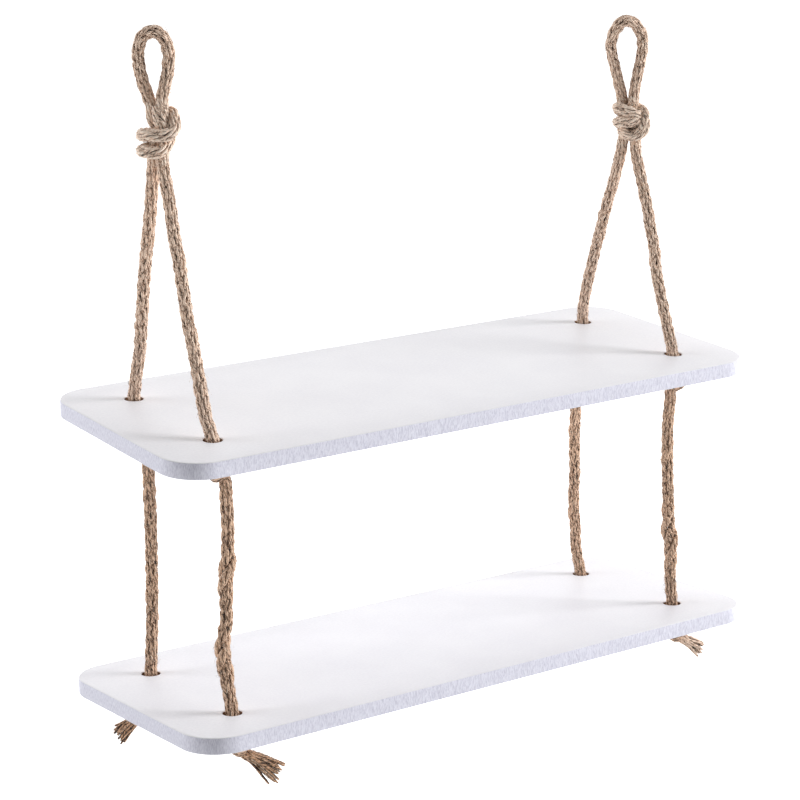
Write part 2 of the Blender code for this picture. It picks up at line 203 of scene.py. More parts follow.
def lay_rope(points, step=RING_STEP, swell=1.0, loosened=(), lay=LAY_LENGTH, seed=0):
    """The route of a rope, and its yarns: for each its middle line, the ways outwards, how
    far along each ring is, its radii, the rope's route beside it, and a number of its own."""
    route = smooth_route(points, step)
    lines, gone = strand_lines(route, swell, loosened, lay)
    share = math.tau / YARNS
    length = gone[-2]
    turn = -round(YARN_TURN * length / share) * share
    held = np.sin(np.pi * np.clip(gone / length, 0.0, 1.0))
    yarns = []
    for strand, (line, outwards) in enumerate(lines):
        along = unit(np.gradient(line, axis=0))
        radial = square_to(outwards, along)
        beside = np.cross(along, radial)
        for yarn in range(YARNS):
            number = seed * 3.7 + strand * 11.3 + yarn * 2.9
            slack = np.sin(gone * 610.0 + number) + np.sin(gone * 1130.0 + 1.7 * number)
            angle = share * yarn + turn * gone / length + 0.16 * slack * held
            out = 0.84 * radial * np.cos(angle)[:, None] + 1.14 * beside * np.sin(angle)[:, None]
            puffed = np.sin(gone * 870.0 + 2.3 * number) + np.sin(gone * 1570.0 + number)
            offset = YARN_OFFSET * swell * (1.0 + 0.075 * puffed * held)
            radii = YARN_RADIUS * swell * (1.0 + 0.13 * np.sin(gone * 1290.0 + 3.1 * number) * held)
            yarns.append((
                line + out * offset[:, None], unit(out), gone, radii, (route, swell), number,
            ))
    return route, yarns


def add_yarns(name, yarns, material):
    """One closed mesh of all the yarns given. "fibre" turns and runs with each yarn, and
    the other attribute says how deep in the rope a point lies, for the painted shade there."""
    points, quads, ends, fibre, groove_shade = [], [], [], [], []
    first = 0
    sides = YARN_SIDES
    around = math.tau * np.arange(sides) / sides
    row = np.arange(sides)
    beyond = (row + 1) % sides
    for line, outwards, gone, radii, rope, number in yarns:
        along = unit(np.gradient(line, axis=0))
        radial = square_to(outwards, along)
        beside = np.cross(along, radial)
        ring = radial[:, None] * np.cos(around)[None, :, None]
        ring = ring + beside[:, None] * np.sin(around)[None, :, None]
        placed = line[:, None] + ring * radii[:, None, None]
        points.append(placed.reshape(-1, 3))
        turned = around[None, :] + 900.0 * gone[:, None]
        lengthwise = np.broadcast_to((gone * 1000.0 + 41.7 * number)[:, None], turned.shape)
        fibre.append(np.stack([np.cos(turned), np.sin(turned), lengthwise], axis=-1).reshape(-1, 3))
        # Loose yarns of a frayed end: painted shade on the side of each that faces into the bundle.
        if rope is None:
            depth = np.tile(0.45 - 0.45 * np.cos(around), len(line))
        else:
            route, swell = rope
            off = np.linalg.norm(placed - route[:, None], axis=2)
            depth = np.clip(1.10 - off / (swell * ROPE_THICKNESS / 2), 0.0, 1.0).ravel()
        groove_shade.append(depth)
        low = first + sides * np.arange(len(line) - 1)[:, None]
        quads.append(np.stack(
            [low + row, low + beyond, low + sides + beyond, low + sides + row], axis=2,
        ).reshape(-1, 4))
        last = first + (len(line) - 1) * sides
        ends.append(list(range(first + sides - 1, first - 1, -1)))
        ends.append(list(range(last, last + sides)))
        first += len(line) * sides
    mesh = bpy.data.meshes.new(name)
    mesh.from_pydata(np.concatenate(points).tolist(), [], np.concatenate(quads).tolist() + ends)
    mesh.attributes.new("fibre", "FLOAT_VECTOR", "POINT")
    mesh.attributes["fibre"].data.foreach_set("vector", np.concatenate(fibre).ravel())
    mesh.attributes.new("groove_shade", "FLOAT", "POINT")
    mesh.attributes["groove_shade"].data.foreach_set("value", np.concatenate(groove_shade).ravel())
    mesh.shade_smooth()
    for end in mesh.polygons[-len(ends):]:
        end.use_smooth = False
    mesh.materials.append(material)
    made = bpy.data.objects.new(name, mesh)
    bpy.context.scene.collection.objects.link(made)
    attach(made, "root")
    return made


def add_bristles(name, bristles, material):
    """Single fibres in one mesh. Each has its foot, first heading, bend, length and radius."""
    points, faces = [], []
    for spot, heading, bend, length, thick, steps in bristles:
        start = len(points)
        for step in range(steps + 1):
            way = (heading + bend * step / steps).normalized()
            beside = way.orthogonal().normalized()
            other = way.cross(beside)
            taper = thick * (1.0 - 0.6 * step / steps)
            for corner in range(3):
                angle = math.tau * corner / 3
                points.append(spot + (beside * math.cos(angle) + other * math.sin(angle)) * taper)
            spot = spot + way * length / steps
        for step in range(steps):
            low = start + 3 * step
            for corner in range(3):
                after = (corner + 1) % 3
                faces.append((low + corner, low + after, low + 3 + after, low + 3 + corner))
        faces.append((start + 2, start + 1, start))
        tip = start + 3 * steps
        faces.append((tip, tip + 1, tip + 2))
    mesh = bpy.data.meshes.new(name)
    mesh.from_pydata(points, [], faces)
    mesh.materials.append(material)
    made = bpy.data.objects.new(name, mesh)
    bpy.context.scene.collection.objects.link(made)
    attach(made, "root")
    return made


def fuzz_on(yarns, hairs_per_metre, seed):
    """Loose fibres on a rope: most lie along it, and some stand off it."""
    chance = random.Random(seed)
    outer = []
    for line, out, gone, radii, (route, swell), _ in yarns:
        off = np.linalg.norm(line - route, axis=1)
        for place in np.nonzero(off > 0.6 * swell * ROPE_THICKNESS / 2)[0]:
            if 1 < place < len(line) - 2:
                outer.append((line, out, radii, int(place)))
    bristles = []
    for _ in range(round(hairs_per_metre * yarns[0][2][-1])):
        line, out, radii, place = chance.choice(outer)
        ahead = Vector(line[place + 1] - line[place - 1]).normalized()
        away = Vector(out[place])
        away = (away - ahead * away.dot(ahead)).normalized()
        away = Matrix.Rotation(chance.uniform(-1.1, 1.1), 3, ahead) @ away
        standing = chance.random() < 0.35
        lift = chance.uniform(0.3, 1.0) if standing else chance.uniform(-0.03, 0.08)
        heading = ahead * chance.choice((-1.0, 1.0)) + ahead.cross(away) * chance.uniform(-0.7, 0.7)
        heading = (heading + away * lift).normalized()
        bend = Vector([chance.uniform(-1.0, 1.0) for _ in range(3)]) * (0.5 if standing else 0.2)
        length = chance.uniform(0.0015, 0.0045)
        thick = chance.uniform(0.04, 0.065) if standing else chance.uniform(0.09, 0.16)
        spot = Vector(line[place]) + away * float(radii[place]) * (0.96 if standing else 1.03)
        bristles.append((spot, heading, bend, length, thick * MM, 3 if standing else 2))
    return bristles


def new_group(name, inputs, outputs):
    """An empty shader node group with named inputs and outputs, and its two end nodes."""
    group = bpy.data.node_groups.new(name, "ShaderNodeTree")
    for label, kind, value in inputs:
        socket = group.interface.new_socket(label, in_out="INPUT", socket_type=kind)
        if value is not None:
            socket.default_value = value
    for label, kind in outputs:
        group.interface.new_socket(label, in_out="OUTPUT", socket_type=kind)
    return group, group.nodes.new("NodeGroupInput"), group.nodes.new("NodeGroupOutput")


def math_node(tree, operation, first, second=None, third=None, clamp=False):
    """A Math node whose inputs are numbers or other nodes' sockets."""
    node = tree.nodes.new("ShaderNodeMath")
    node.operation = operation
    node.use_clamp = clamp
    for place, value in enumerate((first, second, third)):
        if isinstance(value, (int, float)):
            node.inputs[place].default_value = value
        elif value is not None:
            tree.links.new(value, node.inputs[place])
    return node.outputs[0]


def twisted_fibres():
    """The fibres that wind round a yarn: coarse bundles, the fine fibres in them, and the
    gaps where the yarn has opened, which the jute darkens as painted shade."""
    group, given, out = new_group(
        "twisted fibres", (("Fibre", "NodeSocketVector", None),),
        (("Bundles", "NodeSocketFloat"), ("Fine", "NodeSocketFloat"), ("Gap shade", "NodeSocketFloat")),
    )
    layers = (("Bundles", (1.25, 1.25, 0.5), 2.0), ("Fine", (3.2, 3.2, 0.7), 3.0),
              ("Gap shade", (0.9, 0.9, 0.42), 1.0))
    for label, size, detail in layers:
        drawn = group.nodes.new("ShaderNodeMapping")
        drawn.inputs["Scale"].default_value = size
        drawn.inputs["Location"].default_value = (0.0, 0.0, 10.0 * detail)
        group.links.new(given.outputs["Fibre"], drawn.inputs["Vector"])
        noise = group.nodes.new("ShaderNodeTexNoise")
        noise.inputs["Scale"].default_value = 1.0
        noise.inputs["Detail"].default_value = detail
        noise.inputs["Roughness"].default_value = 0.6
        group.links.new(drawn.outputs["Vector"], noise.inputs["Vector"])
        group.links.new(noise.outputs["Fac"], out.inputs[label])
    return group


FIBRES = twisted_fibres()


def colour_steps(tree, value, steps):
    """A colour ramp: (place, colour) pairs, fed by a socket."""
    ramp = tree.nodes.new("ShaderNodeValToRGB")
    marks = ramp.color_ramp.elements
    while len(marks) < len(steps):
        marks.new(0.5)
    for mark, (place, colour) in zip(marks, steps):
        mark.position = place
        mark.color = (*colour, 1.0)
    tree.links.new(value, ramp.inputs[0])
    return ramp.outputs[0]


def jute_finish(name, pale, mid, dark):
    """Dry jute: fibres from straw to brown, with painted shade deep between the yarns and
    strands, where they have opened.
    """
    material = bpy.data.materials.new(name)
    material.use_nodes = True
    tree = material.node_tree
    shader = tree.nodes["Principled BSDF"]
    fibre = tree.nodes.new("ShaderNodeAttribute")
    fibre.attribute_name = "fibre"
    groove_shade = tree.nodes.new("ShaderNodeAttribute")
    groove_shade.attribute_name = "groove_shade"
    twist = tree.nodes.new("ShaderNodeGroup")
    twist.node_tree = FIBRES
    tree.links.new(fibre.outputs["Vector"], twist.inputs["Fibre"])
    tone = math_node(tree, "MULTIPLY_ADD", twist.outputs["Bundles"], 3.2, -1.45)
    tone = math_node(tree, "MULTIPLY_ADD", twist.outputs["Fine"], 1.6, tone)
    # Painted shade: the colour darkens deep in the rope, where the yarns have opened.
    opened = math_node(tree, "MULTIPLY_ADD", twist.outputs["Gap shade"], 4.0, -1.1, clamp=True)
    depth = math_node(tree, "MAXIMUM", math_node(tree, "SUBTRACT", groove_shade.outputs["Fac"], 0.08), 0.0)
    tone = math_node(tree, "MULTIPLY_ADD", math_node(tree, "MULTIPLY", depth, opened), -1.9, tone)
    colour = colour_steps(tree, tone, ((0.28, dark), (0.64, mid), (0.96, pale)))
    tree.links.new(colour, shader.inputs["Base Color"])
    bump = tree.nodes.new("ShaderNodeBump")
    bump.inputs["Strength"].default_value = 0.9
    bump.inputs["Distance"].default_value = 0.0004
    tree.links.new(twist.outputs["Bundles"], bump.inputs["Height"])
    tree.links.new(bump.outputs["Normal"], shader.inputs["Normal"])
    shader.inputs["Roughness"].default_value = 0.55
    shader.inputs["Specular IOR Level"].default_value = 0.5
    shader.inputs["Sheen Weight"].default_value = 0.3
    shader.inputs["Sheen Roughness"].default_value = 0.5
    return material


def plain_fibre():
    """Single fibres: paler than the rope, in patches of straw and tan."""
    material = bpy.data.materials.new("loose jute fibre")
    material.use_nodes = True
    tree = material.node_tree
    shader = tree.nodes["Principled BSDF"]
    place = tree.nodes.new("ShaderNodeTexCoord")
    patches = tree.nodes.new("ShaderNodeTexNoise")
    patches.inputs["Scale"].default_value = 420.0
    tree.links.new(place.outputs["Object"], patches.inputs["Vector"])
    colour = colour_steps(
        tree, patches.outputs["Fac"],
        ((0.40, (0.08, 0.04, 0.02)), (0.50, (0.62, 0.42, 0.29)), (0.58, (1.0, 0.88, 0.74))),
    )
    tree.links.new(colour, shader.inputs["Base Color"])
    shader.inputs["Roughness"].default_value = 0.7
    return material


JUTE = jute_finish("jute rope", (1.0, 0.78, 0.62), (0.68, 0.43, 0.29), (0.02, 0.009, 0.004))
# A paler copy of the jute, for the knots under the loops: painted light.
PAINTED_LIGHT_JUTE = jute_finish("jute rope with painted light", (1.0, 0.85, 0.71), (0.94, 0.65, 0.48), (0.03, 0.012, 0.006))
# A darker, browner copy, for the spans and the knots under the boards: painted shade.
PAINTED_SHADE_JUTE = jute_finish("browner jute rope with painted shade", (0.90, 0.62, 0.43), (0.335, 0.172, 0.092), (0.010, 0.004, 0.002))
# The darkest copy, for three of the frayed ends: painted shade under the lower board.
DEEP_SHADE_JUTE = jute_finish("frayed jute with deep painted shade", (0.80, 0.48, 0.28), (0.19, 0.084, 0.037), (0.006, 0.002, 0.001))
LOOSE_FIBRE = plain_fibre()
HAIRS_PER_METRE = 3000


def add_rope(name, points, nodes, finish=JUTE, swell=1.0, loosened=(), seed=0):
    """A free stretch of rope: its yarns and its fuzz, in place of the given nodes, which are hidden."""
    route, yarns = lay_rope(points, swell=swell, loosened=loosened, seed=seed)
    rope = add_yarns(name, yarns, finish)
    fuzz = add_bristles(name + "_fuzz", fuzz_on(yarns, HAIRS_PER_METRE, seed), LOOSE_FIBRE)
    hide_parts(*nodes)
    return rope


LEG_LOOSENED = {
    "back_left": ((0, 0.30, 0.12, 0.35), (1, 0.62, 0.10, 0.3)),
    "front_left": ((2, 0.35, 0.12, 0.3), (0, 0.58, 0.10, 0.4), (1, 0.80, 0.10, 0.3)),
    "back_right": ((1, 0.42, 0.10, 0.35), (2, 0.70, 0.10, 0.3)),
    "front_right": ((0, 0.25, 0.10, 0.3), (1, 0.50, 0.12, 0.35)),
}

for number, (hole, (end, leaves, drifts)) in enumerate(LEGS.items()):
    start = facing_point(LOOP_KNOT_PLACE[end], leaves)
    top = hole_mouth(hole, "upper", 0.0)
    under = hole_mouth(hole, "upper", BOARD_THICKNESS)
    points = [start]
    for share, drift in drifts:
        points.append(start.lerp(top, share) + SIDEWAYS * drift * MM)
    points.append(top)
    points.append(under + (top - under).normalized() * 0.0021)
    add_rope(
        hole + "_leg_rope", points, [hole + "_leg"],
        swell=1.08, loosened=LEG_LOOSENED[hole], seed=11 + number,
    )


# The spans: the same rope going on from the knot under the upper board to the lower board.
# The boards' weight keeps them straight, but their strands have worked loose in places.
STUB_FOOT = 0.0165
SPANS = {
    "back_left": ((0.0, 5.6), (0.19, 6.0), (0.36, 5.6), (0.52, 4.8), (0.78, 2.8)),
    "front_left": (
        (0.0, 6.4), (0.09, 7.2), (0.29, 5.0), (0.43, 3.1), (0.56, 1.2), (0.64, 0.6), (0.72, -1.9),
        (0.87, -1.6),
    ),
    "back_right": (
        (0.0, -3.4), (0.3, -4.0), (0.44, -4.6), (0.57, -4.3), (0.67, -5.0), (0.79, -3.9),
        (0.89, -3.2),
    ),
    "front_right": (
        (0.0, -0.8), (0.09, -1.4), (0.24, -2.6), (0.37, -2.8), (0.5, -2.5), (0.73, -1.4),
        (0.9, -1.0),
    ),
}
SPAN_LOOSENED = {
    "back_left": ((0, 0.25, 0.10, 0.4), (2, 0.60, 0.10, 0.4)),
    "front_left": (
        (0, 0.36, 0.14, 1.9), (1, 0.36, 0.14, 1.1), (2, 0.71, 0.13, 1.8), (1, 0.72, 0.12, 1.2),
    ),
    "back_right": ((1, 0.30, 0.12, 0.6), (0, 0.66, 0.12, 0.7)),
    "front_right": (
        (2, 0.64, 0.20, 1.8), (0, 0.62, 0.20, 1.7), (1, 0.26, 0.12, 0.5),
    ),
}


def span_points(hole):
    """The route from the foot of one knot to the inside of the lower board's hole."""
    high = hole_mouth(hole, "upper", BOARD_THICKNESS)
    top = hole_mouth(hole, "lower", 0.0)
    points = [high - UPWARDS * STUB_FOOT + SIDEWAYS * SPANS[hole][0][1] * MM]
    for share, drift in SPANS[hole]:
        if (high.z - top.z) * share > STUB_FOOT + 0.006:
            points.append(high.lerp(top, share) + SIDEWAYS * drift * MM)
    points.append(top)
    points.append(hole_mouth(hole, "lower", BOARD_THICKNESS - 0.0021))
    return points


# The spans take the darker, browner copy of the jute: painted shade under the upper board.
for number, hole in enumerate(HOLES):
    add_rope(
        hole + "_span_rope", span_points(hole), [hole + "_span"],
        finish=PAINTED_SHADE_JUTE, swell=1.09,
        loosened=SPAN_LOOSENED[hole], seed=31 + number,
    )


# The hanging loops: each rope is doubled over, and its bight stands above the knot as an eye
# for a hook or a nail.
LOOPS = {
    "left": (
        (-5.4, 15.2, -2.0), (-7.2, 20.2, -1.2), (-9.9, 29.6, 0.0), (-11.1, 39.0, 0.0),
        (-10.4, 46.2, 0.1), (-7.2, 51.4, 0.2), (-2.7, 52.7, 0.2), (1.5, 50.6, 0.1),
        (4.5, 44.7, 0.0), (5.1, 37.9, 0.0), (3.5, 28.6, 0.4), (1.7, 21.6, 1.4),
        (0.9, 17.0, 2.0),
    ),
    "right": (
        (-4.9, 13.8, -1.6), (-6.0, 19.2, -1.0), (-9.2, 31.3, 0.0), (-11.9, 43.3, 0.0),
        (-11.4, 50.7, 0.1), (-8.0, 58.0, 0.2), (-3.0, 60.6, 0.2), (2.6, 58.6, 0.1),
        (6.5, 51.4, 0.0), (6.9, 43.3, 0.0), (5.0, 32.5, 0.4), (2.5, 20.4, 1.2),
        (1.8, 14.6, 1.8),
    ),
}
LOOP_LOOSENED = {
    "left": ((0, 0.5, 0.12, 0.3), (2, 0.72, 0.10, 0.35)),
    "right": ((1, 0.42, 0.10, 0.6), (2, 0.5, 0.12, 0.5), (0, 0.62, 0.10, 0.4)),
}

for number, (end, offsets) in enumerate(LOOPS.items()):
    points = [facing_point(LOOP_KNOT_PLACE[end], point) for point in offsets]
    add_rope(
        end + "_loop_rope", points, [end + "_loop"],
        swell=1.04, loosened=LOOP_LOOSENED[end], seed=51 + number,
    )


# The knots under the loops: the doubled rope is wound round itself and pulled tight, so the
# turns bed into one another.
KNOT_SWELL = 1.08
KNOT_LAY = 0.036
LOOP_KNOTS = {
    "left": (
        ((0.0, -16.6, 2.2), (0.6, -8.0, -0.5), (0.8, 2.0, -4.0), (2.2, 8.0, -6.0),
         (4.4, 10.4, -3.4), (6.2, 8.6, 0.2), (7.2, 3.6, 3.4), (5.2, 0.0, 6.2),
         (0.6, -0.9, 7.2), (-5.5, -0.9, 6.4), (-10.4, -0.9, 1.8), (-8.6, -1.0, -3.6),
         (-2.0, -1.5, -7.2), (4.0, -1.0, -6.6), (4.6, 2.0, -3.0), (2.4, 6.0, 0.5),
         (0.6, 11.0, 1.6), (0.9, 17.0, 2.0)),
        ((-5.4, -16.6, -2.8), (-4.4, -9.0, -3.6), (-3.0, 0.0, -4.5), (1.0, 4.0, -6.5),
         (3.8, 1.0, -5.0), (3.6, -3.8, -1.0), (2.0, -7.0, 3.2), (-0.9, -9.4, 5.8),
         (-4.6, -9.9, 6.2), (-8.8, -9.7, 4.2), (-10.7, -9.5, 0.6), (-8.2, -8.8, -4.2),
         (-1.5, -7.8, -7.4), (3.0, -4.5, -6.0), (0.5, 1.0, -2.5), (-3.9, 6.0, -0.6),
         (-4.9, 10.6, -1.4), (-5.4, 15.2, -2.0)),
        ((-1.8, 12.5, 1.4), (-0.4, 7.0, 3.6), (1.0, 2.0, 3.0), (-1.5, -3.0, 1.5),
         (-2.2, -10.0, 0.5)),
    ),
    "right": (
        ((-5.0, -15.1, -1.5), (-3.4, -8.0, -3.0), (-3.0, 1.0, -5.6), (-5.5, 6.5, -4.8),
         (-8.0, 8.4, -0.8), (-6.6, 8.3, 3.4), (-1.4, 6.4, 6.0), (3.3, 4.2, 5.0),
         (5.4, 2.2, 1.0), (4.0, 1.0, -3.0), (1.5, 5.0, -2.5), (1.2, 9.5, 0.6),
         (1.8, 14.6, 1.8)),
        ((3.4, -15.1, 1.2), (3.0, -8.0, -3.0), (-1.5, -3.0, -7.0), (-6.2, -0.8, -4.5),
         (-7.6, -0.2, 0.0), (-6.0, 0.2, 4.2), (-1.0, 0.6, 6.6), (3.4, 1.6, 5.4),
         (5.0, 3.0, 1.0), (3.0, 6.0, -3.0)),
        ((-4.9, 13.8, -1.6), (-4.2, 10.0, -2.4), (0.0, 7.6, -5.2), (5.0, 8.0, -3.0),
         (7.7, 5.2, 2.4), (8.0, -0.2, 5.8), (6.6, -5.2, 6.6), (2.6, -8.0, 6.0),
         (-2.0, -7.4, 4.4), (-4.6, -5.4, 0.8), (-3.8, -4.4, -4.0)),
        ((-0.5, 9.0, -1.0), (0.5, 3.5, 0.5), (3.2, -2.5, 1.2), (3.4, -6.0, 1.5),
         (1.5, -10.0, -0.5)),
    ),
}


def add_knot(name, ropes, nodes, seed, finish):
    """A pulled knot: every stretch of rope in it, with its yarns, as one piece."""
    yarns = []
    bristles = []
    for number, points in enumerate(ropes):
        _, laid = lay_rope(points, swell=KNOT_SWELL, lay=KNOT_LAY, seed=seed + 3 * number)
        bristles.extend(fuzz_on(laid, HAIRS_PER_METRE, seed + number))
        yarns.extend(laid)
    knot = add_yarns(name, yarns, finish)
    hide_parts(*nodes)
    add_bristles(name + "_fuzz", bristles, LOOSE_FIBRE)
    return knot


for number, (end, ropes) in enumerate(LOOP_KNOTS.items()):
    placed = []
    for offsets in ropes:
        placed.append([facing_point(LOOP_KNOT_PLACE[end], point) for point in offsets])
    # These knots take the paler copy of the jute: painted light against the shade among their turns.
    add_knot(end + "_bound_knot", placed, [end + "_loop_knot"], 71 + number, PAINTED_LIGHT_JUTE)


# The knots under the boards: each rope is knotted close under its hole, too thick to slip
# back through, and the board rests on it.
STOPPER = (
    (0.0, 1.2, 0.0), (-0.3, -1.5, 0.2), (-0.6, -5.5, 0.8), (0.4, -9.6, 2.0), (3.5, -10.4, 3.2),
    (5.4, -9.2, 0.0), (3.0, -8.0, -4.4), (-2.5, -6.6, -4.8), (-5.5, -5.2, -0.5), (-3.0, -4.4, 4.4),
    (2.0, -4.4, 5.0), (5.3, -5.2, 1.4), (3.8, -8.2, -1.6),
)
STOPPER_TURNS = {
    "back_left": (-37, 173), "front_left": (-50, -19), "back_right": (150, 138),
    "front_right": (-37, -25),
}
# The way that each frayed end points, its length in millimetres, how far it opens, its finish
TAILS = {
    # Three ends take the darkest copy of the jute: painted shade under the lower board.
    "back_left": (Vector((-0.88, 0.10, -0.44)), 20.0, 0.7, DEEP_SHADE_JUTE),
    "front_left": (Vector((0.78, -0.30, -0.54)), 25.5, 1.05, DEEP_SHADE_JUTE),
    "back_right": (Vector((-0.62, 0.55, -0.56)), 22.0, 0.7, DEEP_SHADE_JUTE),
    "front_right": (Vector((0.80, -0.28, -0.42)), 18.0, 0.6, JUTE),
}


def tail_start(hole):
    """Where the frayed end leaves the knot under the lower board."""
    direction = TAILS[hole][0]
    flat = Vector((direction.x, direction.y, 0.0)).normalized()
    return hole_mouth(hole, "lower", BOARD_THICKNESS) - UPWARDS * 0.0130 + flat * 0.0045


def stopper_points(hole, board, turn, foot, leaving):
    """The knot's rope under a hole, turned about the hole, and leaving at its foot."""
    mouth = hole_mouth(hole, board, BOARD_THICKNESS)
    upright = (hole_mouth(hole, board, 0.0) - mouth).normalized()
    front = Matrix.Rotation(math.radians(turn), 3, upright) @ Vector((0.0, -1.0, 0.0))
    front = (front - upright * front.dot(upright)).normalized()
    aside = front.cross(upright)
    points = []
    for u, v, w in STOPPER:
        points.append(mouth - aside * u * MM + upright * (v * MM + 0.0009) + front * w * MM)
    points.append(foot - leaving * 0.0032)
    points.append(foot)
    return points


for number, hole in enumerate(HOLES):
    span = span_points(hole)
    feet = {
        "upper": (span[0], (span[1] - span[0]).normalized()),
        "lower": (tail_start(hole), TAILS[hole][0].normalized()),
    }
    for (board, (foot, leaving)), turn in zip(feet.items(), STOPPER_TURNS[hole]):
        points = stopper_points(hole, board, turn, foot, leaving)
        node = f"{hole}_{board}_knot"
        seed = 91 + 2 * number + (board == "lower")
        # The knots under the boards take the darker, browner copy of the jute: painted shade.
        add_knot(f"{hole}_{board}_stopper", [points], [node], seed, PAINTED_SHADE_JUTE)


# The frayed ends: under the lower board's knots the rope is cut off, and past a short laid
# root its strands have opened into yarns and single fibres.
ROOT_LENGTH = 0.0045
FAN_YARNS = 26
FAN_FIBRES = 150


def add_tail(hole, seed):
    chance = random.Random(seed)
    direction, length, opening, finish = TAILS[hole]
    direction = direction.normalized()
    reach = length * MM - ROOT_LENGTH
    start = tail_start(hole)
    root_end = start + direction * ROOT_LENGTH
    _, yarns = lay_rope([start, start.lerp(root_end, 0.5), root_end + direction * 0.0015], seed=seed)
    side = direction.cross(UPWARDS).normalized()
    rise = side.cross(direction)
    for number in range(FAN_YARNS):
        turn = 2.4 * number
        ring = math.sqrt((number + 0.5) / FAN_YARNS)
        out = side * math.cos(turn) + rise * math.sin(turn)
        cut = chance.uniform(0.80, 1.0)
        opened = 2.5 * ring + chance.uniform(3.2, 5.0) * ring * opening
        wave = Vector([chance.uniform(-0.8, 0.8) for _ in range(3)]) * MM
        points = []
        for share in (0.0, 0.25, 0.5, 0.75, 1.0):
            spread = 2.5 * ring + (opened - 2.5 * ring) * share ** 1.3
            droop = -UPWARDS * 0.0020 * share * share
            points.append(
                root_end + direction * (reach * share * cut - 0.001) + out * spread * MM
                + wave * math.sin(5.0 * share + number) * share + droop
            )
        line = smooth_route(points, RING_STEP)
        gone = np.linspace(0.0, reach * cut, len(line))
        radii = np.interp(gone / gone[-1], [0.0, 0.6, 0.93, 1.0], [0.84, 0.78, 0.70, 0.45]) * MM
        outwards = np.tile(np.array(out), (len(line), 1))
        yarns.append((line, outwards, gone, radii, None, seed + 5.3 * number + 2))
    tail = add_yarns(hole + "_frayed_end", yarns, finish)
    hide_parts(hole + "_tail")
    bristles = []
    for _ in range(FAN_FIBRES):
        turn = chance.uniform(0.0, math.tau)
        out = side * math.cos(turn) + rise * math.sin(turn)
        spot = root_end + direction * chance.uniform(-0.003, 0.006) + out * chance.uniform(1.0, 3.0) * MM
        heading = direction + out * chance.uniform(0.0, 0.30) * opening
        bend = Vector([chance.uniform(-0.3, 0.3) for _ in range(3)]) - UPWARDS * 0.25
        longest = reach * chance.uniform(0.55, 1.0)
        bristles.append((spot, heading, bend, longest, chance.uniform(0.07, 0.14) * MM, 6))
    add_bristles(hole + "_end_fibres", bristles, LOOSE_FIBRE)


for number, hole in enumerate(HOLES):
    add_tail(hole, 131 + number)


# The boards: 9.5 mm wooden boards with rounded corners, sprayed white. Their sawn edges have
# taken the paint with fine upright streaks, and the drilled holes are bare wood inside.
BOARD_LENGTH, BOARD_WIDTH = 0.400, 0.150
CORNER_RADIUS = 0.0225
HOLE_RADIUS = 0.0053
RIM = 0.0004


def painted_face():
    """White sprayed paint with a faint orange peel and broad, barely darker patches."""
    material = bpy.data.materials.new("white paint")
    material.use_nodes = True
    tree = material.node_tree
    shader = tree.nodes["Principled BSDF"]
    place = tree.nodes.new("ShaderNodeAttribute")
    place.attribute_name = "board"
    peel = tree.nodes.new("ShaderNodeTexNoise")
    peel.inputs["Scale"].default_value = 650.0
    peel.inputs["Detail"].default_value = 3.0
    tree.links.new(place.outputs["Vector"], peel.inputs["Vector"])
    broad = tree.nodes.new("ShaderNodeTexNoise")
    broad.inputs["Scale"].default_value = 22.0
    broad.inputs["Detail"].default_value = 3.0
    tree.links.new(place.outputs["Vector"], broad.inputs["Vector"])
    tone = math_node(tree, "MULTIPLY_ADD", peel.outputs["Fac"], 0.5, 0.0)
    tone = math_node(tree, "MULTIPLY_ADD", broad.outputs["Fac"], 0.5, tone)
    colour = colour_steps(tree, tone, ((0.36, (0.780, 0.772, 0.810)), (0.62, (0.846, 0.840, 0.868))))
    tree.links.new(colour, shader.inputs["Base Color"])
    rough = math_node(tree, "MULTIPLY_ADD", broad.outputs["Fac"], 0.16, 0.40)
    tree.links.new(rough, shader.inputs["Roughness"])
    bump = tree.nodes.new("ShaderNodeBump")
    bump.inputs["Strength"].default_value = 0.35
    bump.inputs["Distance"].default_value = 0.0001
    tree.links.new(peel.outputs["Fac"], bump.inputs["Height"])
    tree.links.new(bump.outputs["Normal"], shader.inputs["Normal"])
    return material


def sawn_edge_and_shade():
    """The painted edge: thin, bluish, with the upright marks of the saw showing through, and
    darker than the top paint, partly its own colour and partly painted shade.
    """
    material = bpy.data.materials.new("sawn edge and painted shade")
    material.use_nodes = True
    tree = material.node_tree
    shader = tree.nodes["Principled BSDF"]
    place = tree.nodes.new("ShaderNodeAttribute")
    place.attribute_name = "board"
    drawn = tree.nodes.new("ShaderNodeMapping")
    drawn.inputs["Scale"].default_value = (1.0, 1.0, 0.2)
    tree.links.new(place.outputs["Vector"], drawn.inputs["Vector"])
    streaks = tree.nodes.new("ShaderNodeTexNoise")
    streaks.inputs["Scale"].default_value = 2300.0
    streaks.inputs["Detail"].default_value = 4.0
    streaks.inputs["Roughness"].default_value = 0.65
    tree.links.new(drawn.outputs["Vector"], streaks.inputs["Vector"])
    # Darker than the top paint: partly the edge's own colour and partly painted shade.
    colour = colour_steps(
        tree, streaks.outputs["Fac"],
        ((0.32, (0.54, 0.535, 0.65)), (0.50, (0.73, 0.73, 0.83)), (0.68, (0.86, 0.865, 0.96))),
    )
    tree.links.new(colour, shader.inputs["Base Color"])
    shader.inputs["Roughness"].default_value = 0.62
    bump = tree.nodes.new("ShaderNodeBump")
    bump.inputs["Strength"].default_value = 0.6
    bump.inputs["Distance"].default_value = 0.00015
    tree.links.new(streaks.outputs["Fac"], bump.inputs["Height"])
    tree.links.new(bump.outputs["Normal"], shader.inputs["Normal"])
    return material


